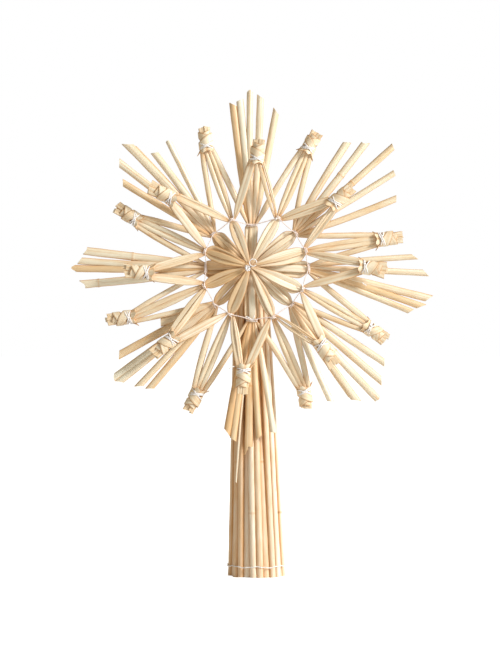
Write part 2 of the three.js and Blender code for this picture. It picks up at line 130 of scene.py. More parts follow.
# Each knot has a direction, the collar's distance, the turn of its axis from the radius, a length, how
# far its tuft flares to a side, and how far the collar and the tip sit before the star's plane
INNER_KNOTS = (
    (0, 60, -9, 15.3, 4.8, (5, 6.5)), (37, 55, 3, 15.4, 3.4, (5, 6.5)),
    (86.5, 56.5, -3, 13.7, 3.3, (5, 6.5)), (138.5, 54.5, 14, 15.8, 4.1, (5, 6.5)),
    (184, 53.5, -9, 16, 4.1, (5, 6.5)), (223, 55.5, -3, 16.4, 3.7, (5, 6.5)),
    (266.5, 54, 0, 16.2, 3.1, (6.5, 8.5)), (313, 54.5, -11, 17.5, 3.9, (5, 6.5)),
)
OUTER_KNOTS = (
    (12, 71, -6, 14.7, 3.3, (-2, -2)), (64, 70, -4, 12.5, 3.5, (-2, -2)),
    (110.5, 68, -14, 13, 3.2, (-2, -2)), (158, 65.5, -11, 15.2, 3.7, (-2, -2)),
    (203.5, 69, -17, 16.2, 3.4, (-2, -2)), (247.5, 73, -5, 13.8, 3.1, (-2, -2)),
    (294, 72.5, -16, 12.5, 2.9, (-2, -2)), (333, 71, -8, 14.4, 4.0, (-2, -2)),
)
# A straw that leaves its outer knot and ends short of the hub: its knot, its place there, its end's
# direction, distance and depth, its bow, and its widths and depths
SHORT_STRAW = (3, 1.5, (158.5, 38.4, -2.0), 0.5)
SHORT_STRAW_SIZE = ((2.4, 2.9, 2.6, 1.5), (1.5, 1.7, 1.6, 1.0))

# Straws: the wall and the depth of an open end, the swelling at a joint, the unevenness along a straw,
# how square a flat strip's edges are, and how broad its crease is as a share of its width
WALL = 0.35
MOUTH_DEPTH = 5.0
JOINT_SWELL = 0.1
JOINT_LENGTH = 0.8
WOBBLE = 0.035
WOBBLE_RATES = (0.31, 0.13)
THINNEST = 0.05
FLAT_EDGE = 0.62
CREASE_BREADTH = 0.2
# Distance between points along a straw, their least number, the points round it, and a sharp edge
STEP = 2.4
JOINT_STEP = 0.5
FEWEST_POINTS = 6
SIDES = 16
SHARP_ANGLE = 50
# Painted shade: how much darker a straw is painted at its flanks where straws meet, at a flat strip's
# edges and along its crease, where strips shade each other, and in its mouth; a joint is darker in itself.
# The higher the power, the narrower the dark line
FLANK_SHADE = 0.4
FLANK_POWER = 8
EDGE_SHADE = 0.5
EDGE_POWER = 12
CREASE_SHADE = 0.4
CREASE_SHADE_BREADTH = 0.12
JOINT_SHADE = 0.3
MOUTH_SHADE = 0.35

# Sleeve: the middles of its ends, and the rings of its outer and inner straws there. Every third straw
# is an inner one, and at the head the outer ones spread evenly before them
STEM_FOOT = np.array((3.7, 2.5, 0.0))
STEM_HEAD = np.array((0.0, 6.6, 181.0))
STEM_STRAWS = 24
STEM_GROUP = 3
STEM_FOOT_RADII = (14.35, 13.1)
STEM_HEAD_RADII = (7.5, 3.8)
STEM_FIRST_ANGLE = -97.5
HEAD_STAGGER = (-3.75, 3.75, 0)
STEM_WIDTHS = (2.85, 3.5, 3.7)
STEM_DEPTHS = (2.6, 3.0, 3.4)
STEM_THICKNESS = (0.97, 1.06)
STEM_BOW = 0.4
# Painted shade at the head of an outer sleeve straw, behind the star
STEM_SHADE = (0.1, 0, 0)
STEM_STEP = 3.0
INNER_THICKNESS = 1.16
# Painted shade on the inner straws, which lie in the shadow of the outer ones, and on every sleeve straw's
# flanks where neighbours meet
INNER_SHADE = (0.4, 0.35, 0.3, 0.1)
SLEEVE_FLANK_SHADE = 0.48
# The sleeve's tone, how much browner its left side is made as painted shade, away from the light on the
# right, and how much one straw differs from the next
SLEEVE_TONE = 0.05
SLEEVE_SIDE_PAINTED_SHADE = 0.55
SLEEVE_TONE_CHANGE = 0.75
# Heights of the cut ends above the ground, and distances of a joint from the head, where 0 is no joint
FOOT_HEIGHTS = (0, 0, 0.15, 0.3, 0.5)
STEM_JOINTS = (0, 0, 0, 118, 146)

# Threads: two plies, with painted shade in the grooves between them
THREAD_RADIUS = 0.26
THREAD_SIDES = 8
PLY_GROOVE = 0.28
PLY_TWIST = 2.2
PLY_SHADE = 0.125
# Turns round a knot's neck: their heights as shares of the knot's length, their slant and clearance
KNOT_THREAD_RADIUS = 0.37
KNOT_TURNS = (0.19, 0.22, 0.25)
KNOT_TURN_SLANTS = (0.9, 1.7)
KNOT_TURN_CLEARANCE = 0.8
KNOT_TURN_WAVE = 0.02
# The thread from tie to tie, and its turns round a tie
RING_TONE = 0.8
RING_FORWARD = 2.0
RING_SAG = 0.35
WIDE_TIE = 2.9
NARROW_TIE = 1.7
TIE_DEPTH = 1.8
TIE_TURNS = (-0.45, 0.45)
TIE_TURN_SLANT = 0.5
# The knot at the middle and its curl: a direction and a distance from the hub, and a radius
CENTRE_FORWARD = 6.2
CENTRE_KNOT = (216, 1.7)
CENTRE_LOOPS = (1.3, 1.45, 1.6, 1.75)
CENTRE_LOOP_HEIGHT = 0.5
CENTRE_CURL = (50, 2.6)
CURL_RADIUS = 2
CURL_BACK = 0.2
CURL_RISE = 0.1
# Loose ends: a direction and distance from the hub, how far forward, the way the end runs, its length
THREAD_TAILS = (
    (271.9, 29.5, 2.4, 125, 3.6), (271.9, 29.5, 2.6, 40, 3.0), (336.3, 31.5, 2.2, 80, 3.2),
    (60.0, 31.0, 2.2, 200, 2.2), (261.5, 55.5, 8.0, 175, 3.4), (352.0, 62.0, 6.5, 300, 3.0),
)
TAIL_POINTS = 14
TAIL_BEND = 50
TAIL_RISE = 0.2
# The foot's thread dips between straws and wanders a little up and down, in two waves
FOOT_THREAD_HEIGHT = 6.0
FOOT_THREAD_RADIUS = 16.35
FOOT_THREAD_DIP = 0.25
FOOT_THREAD_WAVES = ((0.3, 7), (0.15, 19))
# The thread round the sleeve's head
BINDING_HEIGHT = 171.0
BINDING_LENGTH = 4.0
BINDING_TURNS = 7
BINDING_RADIUS = 9.4

# Camera: the photo is 500 x 667 pixels at 0.55 mm each, taken level from the front
PIXEL = 0.55
IMAGE_HEIGHT = 667
VIEW_CENTRE_HEIGHT = 134.2
CAMERA_DISTANCE = 1300.0
SENSOR = 36.0


def unit(vectors):
    """Vectors scaled to length 1, one or many."""
    return vectors / np.linalg.norm(vectors, axis=-1, keepdims=True)


def circle(points):
    """Evenly spaced angles, once round."""
    return np.linspace(0, 2 * np.pi, points, endpoint=False)


def distances(path):
    """How far along its path each point is, as a column."""
    return np.concatenate(([0], np.cumsum(np.linalg.norm(np.diff(path, axis=0), axis=1))))[:, None]


def star_point(angle, reach, forward):
    """A point of the star from its direction, its distance from the hub and its place in depth."""
    turn = math.radians(angle)
    return np.array((reach * math.cos(turn), STAR_PLANE - forward, HUB_HEIGHT + reach * math.sin(turn)))


def beside(angle):
    """The direction sideways from a ray, counter-clockwise."""
    turn = math.radians(angle)
    return np.array((-math.sin(turn), 0, math.cos(turn)))


def add_object(name, data):
    """A new object in the scene."""
    thing = bpy.data.objects.new(name, data)
    bpy.context.scene.collection.objects.link(thing)
    return thing


class Shape:
    """Gathers tubes and strips into one mesh. Each point holds its place in the straw's grain, the
    straw's tone from pale to tan, and a painted shade from none to dark, which also carries darker joints."""

    def __init__(self, name):
        self.name = name
        self.random = random.Random(name)
        self.points, self.grain, self.tone, self.shade, self.faces = [], [], [], [], []
        self.count = 0

    def pick(self, bounds):
        """A random value between two bounds."""
        return self.random.uniform(*bounds)

    def sway(self, reach):
        """A random value, up to a reach either way."""
        return self.random.uniform(-reach, reach)

    def add_grid(self, grid, grain, tone, shade):
        """Rings of points joined into one closed skin, with a cap at each end."""
        rings, sides = grid.shape[:2]
        index = self.count + np.arange(rings * sides).reshape(rings, sides)
        after = np.roll(index, -1, axis=1)
        quads = np.stack([index[:-1], index[1:], after[1:], after[:-1]], axis=-1)
        self.faces.extend(quads.reshape(-1, 4).tolist())
        self.faces.append(index[0].tolist())
        self.faces.append(index[-1][::-1].tolist())
        self.points.append(grid.reshape(-1, 3))
        self.grain.append(grain.reshape(-1, 3))
        self.tone.append(np.full(rings * sides, tone))
        self.shade.append(shade.reshape(-1))
        self.count += rings * sides

    def make(self, material, slot, *nodes):
        """The finished piece, riding on the frame and standing for the named solids."""
        mesh = bpy.data.meshes.new(self.name)
        mesh.from_pydata((np.concatenate(self.points) * MM).tolist(), [], self.faces)
        mesh.polygons.foreach_set("use_smooth", [True] * len(mesh.polygons))
        mesh.set_sharp_from_angle(angle=math.radians(SHARP_ANGLE))
        grain = mesh.attributes.new("grain", "FLOAT_VECTOR", "POINT")
        grain.data.foreach_set("vector", np.concatenate(self.grain).astype(np.float32).ravel())
        for name, values in (("tone", self.tone), ("shade", self.shade)):
            attribute = mesh.attributes.new(name, "FLOAT", "POINT")
            attribute.data.foreach_set("value", np.concatenate(values).astype(np.float32))
        mesh.materials.append(material)
        piece = add_object(self.name, mesh)
        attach(piece, "root")
        if nodes:
            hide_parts(*nodes)
        return piece


def spread(values, shares):
    """Evenly spaced values read off at each share of a length."""
    return np.interp(shares, np.linspace(0, 1, len(values)), values)


def lay(shape, path, width, depth, towards=FRONT, roll=(0,), crease=0.0, tone=0.0, shade=(0,),
        flank=FLANK_SHADE, cut=0.0, point=0.0, level=False, joints=(), mouths=(), sides=SIDES):
    """Lays a straw or strip along a path of points. width, depth, roll and shade are evenly spaced along
    it. shade is painted shade, and flank paints shade on its sides where it meets other straws. cut
    slants the far end, point draws it out, level cuts both ends level, joints are the distances of
    swollen joints, and mouths names the open ends."""
    count = len(path)
    shares = np.linspace(0, 1, count)
    along = unit(np.gradient(path, axis=0))
    across = unit(np.cross(along, towards))
    outward = np.cross(across, along)
    turn = np.radians(spread(roll, shares))[:, None]
    across, outward = (across * np.cos(turn) + outward * np.sin(turn),
                       outward * np.cos(turn) - across * np.sin(turn))
    wide = np.cos(circle(sides))
    high = np.sin(circle(sides))
    widths = spread(width, shares)[:, None] / 2
    depths = spread(depth, shares)[:, None] / 2
    distance = distances(path)
    random_place = shape.random.uniform(0, 400)
    quick, slow = WOBBLE_RATES
    wobble = 1 + WOBBLE * np.sin(distance * quick + random_place) * np.sin(distance * slow)
    joint = sum(np.exp(-((distance - place) / JOINT_LENGTH) ** 2) for place in joints) + 0 * distance
    wobble = wobble + JOINT_SWELL * joint

    def skin(inset):
        """One skin's points, its grain and its painted shade. inset is how far it lies inside the straw."""
        roundness = np.minimum(1, depths / widths)
        flat = FLAT_EDGE + (1 - FLAT_EDGE) * roundness
        groove = 1 - crease * np.exp(-(wide / CREASE_BREADTH) ** 2)
        x = wide * np.maximum(widths * wobble - inset, THINNEST)
        y = np.sign(high) * np.abs(high) ** flat * groove
        y = y * np.maximum(depths * wobble - inset, THINNEST)
        place = path[:, None, :] + across[:, None, :] * x[..., None] + outward[:, None, :] * y[..., None]
        last = shares[:, None] == 1
        slant = -(cut * wide + point * wide ** 2) * widths * last
        if level:
            end_heights = path[[0, -1], None, 2]
            slant = np.zeros_like(x)
            slant[[0, -1]] = (end_heights - place[[0, -1], :, 2]) / along[[0, -1], None, 2]
        place = place + along[:, None, :] * slant[..., None]
        grain = np.stack([x + random_place, y, np.broadcast_to(distance, x.shape) + slant], axis=-1)
        # Painted shade: along the straw as given and deeper at its sides, at the flanks where straws meet,
        # at flat strips' edges, along the crease and inside the mouth; a joint is darker in itself
        edge = flank * wide ** FLANK_POWER + EDGE_SHADE * (1 - roundness) * np.abs(wide) ** EDGE_POWER
        middle = CREASE_SHADE * crease * np.exp(-(wide / CREASE_SHADE_BREADTH) ** 2)
        dark = spread(shade, shares)[:, None] * (0.5 + 0.5 * wide ** 2)
        dark = dark + edge + middle + JOINT_SHADE * joint ** 4 + (MOUTH_SHADE if inset else 0)
        return place, grain, dark

    layers = [skin(0.0)]
    steps = np.nonzero(distance[:, 0] < MOUTH_DEPTH)[0]
    if "start" in mouths:
        layers.insert(0, [part[steps[::-1]] for part in skin(WALL)])
    if "end" in mouths:
        layers.append([part[count - 1 - steps] for part in skin(WALL)])
    grid, grain, dark = (np.concatenate(parts) for parts in zip(*layers))
    shape.add_grid(grid, grain, tone, np.clip(dark, 0, 1))


def straight(start, end, bow=0.0, step=STEP):
    """A path from start to end, bowed sideways in the star's plane."""
    length = np.linalg.norm(end - start)
    shares = np.linspace(0, 1, max(FEWEST_POINTS, round(length / step)))[:, None]
    sideways = unit(np.cross(end - start, FRONT))
    return start + (end - start) * shares + sideways * bow * np.sin(np.pi * shares)


TONE_CHANGE = 0.35
SMALL_TONE_CHANGE = 0.12


def tone_near(shape, tone=0.0, change=TONE_CHANGE):
    """A tone that differs a little from one straw to the next."""
    return tone + shape.sway(change)


# Petals: flattened straws bowed between the hub and the ties
PETAL_ARCH = 1.6
PETAL_ARCH_SPREAD = (0.95, 1.15)
PETAL_REACH = (0.03, 1.04)
PETAL_STRIP_DEPTHS = (0.7, 0.8, 1.0, 1.2, 1.2, 1.1)
# Painted shade along a petal, from hub to tie: deepest at the hub where the petals crowd and shade each
# other, and again under the tie
PETAL_SHADE = (0.55, 0.2, 0.04, 0, 0.03, 0.3)
PETAL_RINGS = 30
# How far each strip lies above the one before it, and how far it drops and leans away from the middle
PETAL_LIFT = 0.35
PETAL_SLOPE = 0.4
PETAL_LEAN = -8
PETAL_LEAN_CHANGE = 9
PETAL_CREASE = (0.05, 0.5)
# Outlines of the strips: shares of the way from hub to tie, and of the full width there
OUTLINES = {
    "leaf": ((0, 0.1), (0.2, 0.42), (0.45, 0.88), (0.66, 1.05), (0.85, 0.9), (1, 0.18)),
    "corner": ((0, 0.1), (0.2, 0.4), (0.5, 0.9), (0.85, 1.15), (1, 0.2)),
    "band": ((0, 0.3), (0.25, 0.75), (0.5, 0.95), (0.95, 1), (1, 0.6)),
}
NARROWEST = 0.3


def petal(shape, ray, hub_forward):
    """One ray's petal: flattened straws beside and over each other."""
    for order, (place, width, tone, *form) in enumerate(ray["strips"]):
        shares = np.linspace(*PETAL_REACH, PETAL_RINGS)
        reach = np.minimum(shares, 1)
        bulge = np.interp(reach, *np.transpose(OUTLINES[form[0] if form else "leaf"]))
        bulge = np.convolve(np.pad(bulge, 1, mode="edge"), (0.25, 0.5, 0.25), mode="valid")
        settle = reach ** 2 * (3 - 2 * reach)
        arch = PETAL_ARCH * np.sin(np.pi * reach) * shape.pick(PETAL_ARCH_SPREAD)
        rise = (PETAL_LIFT * order - PETAL_SLOPE * abs(place)) * bulge
        forward = hub_forward + (ray["forward"] - hub_forward) * settle + arch + rise
        path = np.array([star_point(ray["angle"], share * ray["tie"], depth)
                         for share, depth in zip(shares, forward)])
        path = path + beside(ray["angle"]) * (place * bulge)[:, None]
        lean = PETAL_LEAN * place + shape.sway(PETAL_LEAN_CHANGE)
        lay(shape, path, width * (NARROWEST + (1 - NARROWEST) * bulge), PETAL_STRIP_DEPTHS,
            roll=(0, lean, lean, lean / 3), crease=shape.pick(PETAL_CREASE),
            tone=tone_near(shape, tone, SMALL_TONE_CHANGE), shade=PETAL_SHADE)


# Fans: straws from the ties to the knots, and spikes that end free
KNOT_ENTRY_DEPTH = 1.5
INNER_KNOT_OFFSET = 2.2
OUTER_KNOT_OFFSET = 2.635
FRONT_FAN_SPACING = 1.3
# Painted shade along a fan straw: deep where it leaves its tie, and again where it goes into its knot
FAN_SHADE = (0.6, 0.12, 0, 0, 0, 0, 0.05, 0.35)
# Back straws: how far apart they start, and the profile of one as shares of its width
BACK_FAN_SPREAD = 4.2
BACK_STRAW_PLACE = 0.8
BACK_STRAW_BOW = 0.8
BACK_STRAW_WIDTHS = (2.8, 3.6)
BACK_STRAW_PROFILE = (0.85, 1, 1, 1, 0.8)
BACK_STRAW_DEPTHS = (1.3, 2.1, 2.3, 2.3, 2.1, 1.6)
# The pair of middle straws: their places at the tie and at the knot, and how far back they start
MIDDLE_PLACES = (0.5, 0.9)
MIDDLE_FORWARD = -0.6
MIDDLE_BOW = -0.6
MIDDLE_WIDTHS = (1.0, 2.4, 2.8, 2.8, 2.7, 2.2)
MIDDLE_DEPTHS = (1.2, 1.9, 2.1, 2.1, 2.0, 1.6)
# Spikes: a straw's width and depth add up to the same length, so one pressed wider is thinner
# Painted shade along a spike: deep at its root in the tie
SPIKE_SHADE = (0.6, 0.2, 0.08, 0, 0, 0, 0, 0)
SPIKE_WIDTHS = (0.33, 0.8, 0.95, 1, 1, 1, 1)
SPIKE_DEPTHS = (0.4, 0.75, 0.9, 1, 1, 1, 1)
SPIKE_FULLNESS = 1.07
WIDTH_AND_DEPTH = 6.5
SPIKE_BOW = 0.7
SPIKE_START_CHANGE = 0.6
SLIVER_DEPTH = 0.8
SLIVER_BOW = 0.8
# Spikes made darker along their whole length, and spikes with a joint and its distance from the cut end
DARKER_SPIKES = {262.2: 0.35, 269.5: 0.15}
JOINT_SPIKES = {186: 8, 40: 30, 47: 22, 174.5: 26, 314: 36, 269.5: 34}
# Strips of each side straw: sideways place and width
SIDE_STYLES = {
    "wide": ((0.0, 5.0),),
    "pair": ((-1.15, 2.7), (1.15, 2.9)),
    "broad pair": ((-1.5, 3.4), (1.5, 3.3)),
    "thin pair": ((-1.3, 2.0), (1.3, 2.1)),
}
SIDE_TONES = {"wide": -0.4}
# A side strip's share of its sideways place at the tie, midway and at the knot, how far its middle comes
# forward, and how much less the next strip's does
SIDE_PLACES = (0.3, 0.45, 0.75)
SIDE_FORWARD = 0.4
SIDE_RISE = 0.5
SIDE_RISE_STEP = 0.7
SIDE_LEAN = 14
SIDE_CREASE = (0.25, 0.6)
SIDE_PROFILE = (0.75, 1, 1, 1, 0.85)
SIDE_DEPTHS = (1.3, 1.1, 1.3, 1.4, 1.3, 1.2)
# Width of a fan straw where it leaves its tie
STRAW_START = 1.1


def knot_frame(knot):
    """A knot's collar, its axis, and the directions across it and towards the front."""
    angle, reach, lean, length, _, (base_forward, tip_forward) = knot
    base = star_point(angle, reach, base_forward)
    step = star_point(angle + lean, length, tip_forward - base_forward) - star_point(0, 0, 0)
    axis = unit(step)
    side = unit(np.cross(FRONT, axis))
    return base, axis, side, np.cross(side, axis)


def knot_entry(knot, offset):
    """A point just inside a knot's collar, beside its axis."""
    base, axis, side, _ = knot_frame(knot)
    return base + axis * KNOT_ENTRY_DEPTH + side * offset


def tie_point(ray, sideways, forward=0.0):
    """A point in a ray's tie, counted sideways from the ray."""
    middle = star_point(ray["angle"], ray["tie"] - 0.5, ray["forward"] + forward)
    return middle + sideways * beside(ray["angle"])


def profile(width, shares):
    """A fan straw's widths, from its narrow start at the tie."""
    return (STRAW_START, *(width * share for share in shares))


def side_strips(shape, ray, sideways, end, style):
    """The flattened straws from a front tie to an inner knot."""
    start = tie_point(ray, sideways, SIDE_FORWARD)
    across = unit(np.cross(end - start, FRONT))
    at_tie, midway, at_knot = SIDE_PLACES
    for order, (offset, width) in enumerate(SIDE_STYLES[style]):
        path = straight(start + across * offset * at_tie, end + across * offset * at_knot)
        spreading = np.sin(np.pi * np.linspace(0, 1, len(path)) ** 0.8)[:, None]
        rise = SIDE_RISE - SIDE_RISE_STEP * order
        path = path + across * offset * midway * spreading + FRONT * rise * spreading
        lean = shape.sway(SIDE_LEAN)
        lay(shape, path, profile(width, SIDE_PROFILE), SIDE_DEPTHS, roll=(0, lean, lean, lean / 2),
            crease=shape.pick(SIDE_CREASE), tone=tone_near(shape, SIDE_TONES.get(style, 0)),
            shade=FAN_SHADE)


def middle_straws(shape, ray, end):
    """The two straws from a front tie to the outer knot in line with it."""
    across = unit(np.cross(end - tie_point(ray, 0), FRONT))
    at_tie, at_knot = MIDDLE_PLACES
    for sign in (-1, 1):
        start = tie_point(ray, at_tie * sign, MIDDLE_FORWARD)
        path = straight(start, end - across * at_knot * sign, bow=MIDDLE_BOW * sign)
        lay(shape, path, MIDDLE_WIDTHS, MIDDLE_DEPTHS, tone=tone_near(shape, 0.15), shade=FAN_SHADE)


def front_fan(shape, index):
    """A front ray's straws to the inner knots beside it and to the outer knot in line with it."""
    ray = FRONT_RAYS[index]
    before = knot_entry(INNER_KNOTS[index], INNER_KNOT_OFFSET)
    after = knot_entry(INNER_KNOTS[(index + 1) % len(INNER_KNOTS)], -INNER_KNOT_OFFSET)
    middle_straws(shape, ray, knot_entry(OUTER_KNOTS[index], 0))
    knot, offset, end, bow = SHORT_STRAW
    if knot == index:
        path = straight(knot_entry(OUTER_KNOTS[knot], offset), star_point(*end), bow=bow)
        # Painted shade where the short straw leaves its knot, and a little at its cut end
        lay(shape, path, *SHORT_STRAW_SIZE, tone=0.1, shade=(0.3, 0, 0, 0.2), cut=0.8)
    side_strips(shape, ray, -FRONT_FAN_SPACING, before, ray["sides"][0])
    side_strips(shape, ray, FRONT_FAN_SPACING, after, ray["sides"][1])


def back_fan(shape, index):
    """A back ray's straws to the outer knots beside it, and the spikes between them."""
    ray = BACK_RAYS[index]
    edge = BACK_FAN_SPREAD / 2
    before = knot_entry(OUTER_KNOTS[index - 1], OUTER_KNOT_OFFSET)
    after = knot_entry(OUTER_KNOTS[index], -OUTER_KNOT_OFFSET)
    for sideways, end in ((-edge, before), (edge, after)):
        path = straight(tie_point(ray, sideways * BACK_STRAW_PLACE), end, bow=shape.sway(BACK_STRAW_BOW))
        width = shape.pick(BACK_STRAW_WIDTHS)
        lay(shape, path, profile(width, BACK_STRAW_PROFILE), BACK_STRAW_DEPTHS,
            tone=tone_near(shape, 0.1), shade=FAN_SHADE)
    forward = ray.get("spikes forward", SPIKE_FORWARD)
    spacing = BACK_FAN_SPREAD / (len(ray["spikes"]) + 1)
    for order, (angle, reach, cut, tone, width) in enumerate(ray["spikes"]):
        start = tie_point(ray, (order + 1) * spacing - edge, shape.sway(SPIKE_START_CHANGE))
        spike(shape, start, star_point(angle, reach, forward), angle, cut, tone, width)
    for ray_index, angle, reach, width, tone in SLIVERS:
        if ray_index == index:
            path = straight(tie_point(ray, 0), star_point(angle, reach, forward), bow=SLIVER_BOW)
            lay(shape, path, (SLIVER_DEPTH, width, width, width, 0.7 * width), (SLIVER_DEPTH,),
                crease=0.3, tone=tone, shade=SPIKE_SHADE, cut=1.5)


def spike(shape, start, end, angle, cut, tone, width):
    """A free straw with an open cut end."""
    joint = JOINT_SPIKES.get(angle)
    path = straight(start, end, bow=shape.sway(SPIKE_BOW), step=JOINT_STEP if joint else STEP)
    length = np.linalg.norm(end - start)
    widths = [width * SPIKE_FULLNESS * share for share in SPIKE_WIDTHS]
    depths = [(WIDTH_AND_DEPTH - width) * share for share in SPIKE_DEPTHS]
    shade = [value + DARKER_SPIKES.get(angle, 0) for value in SPIKE_SHADE]
    lay(shape, path, widths, depths, tone=tone_near(shape, tone, SMALL_TONE_CHANGE), shade=shade, cut=cut,
        point=SPIKE_POINTS.get(angle, 0), joints=(length - joint,) if joint else (), mouths=("end",))


# Knots: flared collar, thread neck, flattened straws folded round on the slant, and a flat tuft of ends
KNOT_FLATNESS = 0.9
COLLAR_RADIUS = 4.0
COLLAR_CORNERS = 5
COLLAR_SIDES = 60
# The rim: its least radius as a share, and how far its points, its ovalness and its tilt move it
COLLAR_RIM = 0.9
COLLAR_POINTS = 0.24
COLLAR_OVAL = 0.07
COLLAR_LIFT = 3.6
COLLAR_TILT = 0.5
# Painted shade in the notches between the rim's points
COLLAR_CREASE_SHADE = 0.35
# Neck: a ribbed core, pinched by the thread. The pinch has a depth, a place and a length, as shares
NECK_RADIUS = 2.7
NECK_FLATNESS = 0.8
NECK_SPAN = (0.1, 0.75)
NECK_RINGS = 12
NECK_SIDES = 40
NECK_RIBS = 8
NECK_RIB_DEPTH = 0.08
NECK_PINCH = (0.1, 0.22, 0.07)
NECK_GRAIN = 3
# The collar's rows, from the neck out to the rim and back inside: each has its radius, its height as a
# share of the knot's length, how much of the rim's shape it takes, and its painted shade, deepest at the
# neck and inside the dish
COLLAR_ROWS = (
    (NECK_RADIUS - 0.4, 0.22, 0, 0.5), (NECK_RADIUS, 0.2, 0, 0.3), (3.2, 0.12, 0.4, 0.05),
    (3.7, 0.05, 0.8, 0), (COLLAR_RADIUS, 0, 1, 0.1), (COLLAR_RADIUS - 0.4, -0.005, 1, 0.2),
    (3.2, 0.05, 0.8, 0.4), (2.7, 0.1, 0.4, 0.55), (2.0, 0.16, 0, 0.75),
)
# Folds: how far a wound strip reaches to the sides and to the front, how sharply it bends, its turns
# round the axis, its width and thickness, and in radians where it starts
FOLD_RADIUS = 3.6
FOLD_DEPTH = 2.7
FOLD_SHARPNESS = 1.35
FOLD_TURNS = 1.1
FOLD_WIDTH = 4.6
FOLD_WIDTH_SPREAD = (0.85, 1.1)
FOLD_THICKNESS = 0.5
FOLD_START = (-0.9, -0.4)
FOLD_SLOPE = (1.9, 2.6)
FOLD_CLIMB = 0.2
FOLD_POINTS = 70
# Each fold: its height as a share of the knot's length, how steeply it slants and how far it stands out
FOLDS = ((0.62, 0.5, -0.6), (0.5, -1, 0), (0.4, 1, 0.3))
# Tuft layers: how many strips, how far before the knot's axis, and how much darker
TUFT_LAYERS = ((2, -0.9, 0.4), (3, 0.4, -0.3))
TUFT_OVERLAP = 2.2
TUFT_WIDTH_SPREAD = (0.9, 1.1)
TUFT_START = (0.45, 1.3)
TUFT_REACH = (0.92, 1.03)
TUFT_DEPTH_SPREAD = (0.7, 1.5)
TUFT_LEAN = 16
TUFT_CUT = 0.35
# Flaps: they start and bend at shares of the knot's length and distances from its axis
FLAP_TURNS = (5, 95, 175)
FLAP_TURN_CHANGE = 20
FLAP_PLACES = ((0.3, 2.2), (0.12, 2.7))
FLAP_BACK = (0, 1.4)
FLAP_OUT = (3.9, 4.9)
FLAP_WIDTHS = (2.4, 3.4)
FLAP_CUTS = (-1.2, 1.2)
FLAP_THICKNESS = 0.6


def around_axis(axes, angles, radii, heights, flatness=KNOT_FLATNESS):
    """Points around a knot's axis from their angles, radii and heights above the collar."""
    base, axis, side, outward = axes
    return (base + axis * np.asarray(heights)[..., None] + side * (np.cos(angles) * radii)[..., None]
            + outward * (np.sin(angles) * radii * flatness)[..., None])


def collar(shape, axes, length):
    """The flared ends of the winding strips: a thin dish with a pointed, uneven rim."""
    angles = circle(COLLAR_SIDES)
    phase = shape.random.uniform(0, 6)
    notches = np.abs(np.sin(COLLAR_CORNERS * angles / 2 + phase))
    rim = COLLAR_RIM + COLLAR_POINTS * (1 - notches) + COLLAR_OVAL * np.sin(2 * angles + 2 * phase)
    lift = COLLAR_LIFT * (rim - 1) + COLLAR_TILT * np.sin(angles + phase)
    radii, shares, reaches, shades = (np.array(column)[:, None] for column in zip(*COLLAR_ROWS))
    grid = around_axis(axes, -angles, radii * (1 + (rim - 1) * reaches), shares * length - lift * reaches)
    grain, turn = np.broadcast_arrays(shares * length + phase * 30, angles * COLLAR_RADIUS)
    coords = np.stack([grain, 0 * grain, turn], axis=-1)
    # Painted shade: darker at the neck, inside the dish and in the rim's notches
    shade = shades + COLLAR_CREASE_SHADE * notches ** 8
    shape.add_grid(grid, coords, tone_near(shape), np.clip(shade, 0, 1))


def flaps(shape, axes, length):
    """Loose straw ends that stand out from the collar."""
    base, axis, side, outward = axes
    for turn in FLAP_TURNS:
        angle = math.radians(turn + shape.sway(FLAP_TURN_CHANGE))
        aside = side * math.cos(angle) + outward * math.sin(angle)
        start, bend = (base + axis * share * length + aside * out for share, out in FLAP_PLACES)
        end = base - axis * shape.pick(FLAP_BACK) + aside * shape.pick(FLAP_OUT)
        shares = np.linspace(0, 1, 9)[:, None]
        path = start * (1 - shares) ** 2 + 2 * bend * shares * (1 - shares) + end * shares ** 2
        width = shape.pick(FLAP_WIDTHS)
        # Painted shade where the flap leaves the collar
        lay(shape, path, (0.8 * width, width, width, 0.8 * width), (FLAP_THICKNESS,), towards=aside + axis,
            crease=0.4, tone=tone_near(shape, -0.1), shade=(0.3, 0, 0.1),
            cut=shape.random.choice(FLAP_CUTS))


def neck(shape, axes, length):
    """The gathered straws under the thread."""
    shares = np.linspace(*NECK_SPAN, NECK_RINGS)[:, None]
    angles = circle(NECK_SIDES)
    ribs = 1 + NECK_RIB_DEPTH * np.cos(NECK_RIBS * angles + shape.random.uniform(0, 6))
    depth, place, reach = NECK_PINCH
    waist = 1 - depth * np.exp(-((shares - place) / reach) ** 2)
    coords = np.stack(np.broadcast_arrays(np.cos(angles) * NECK_GRAIN, np.sin(angles) * NECK_GRAIN,
                                          shares * length), axis=-1)
    grid = around_axis(axes, -angles, NECK_RADIUS * ribs * waist, shares * length, NECK_FLATNESS)
    # Painted shade over the whole neck, sunk between the collar and the folds
    shape.add_grid(grid, coords, tone_near(shape, 0.2), np.full(grid.shape[:2], 0.2))


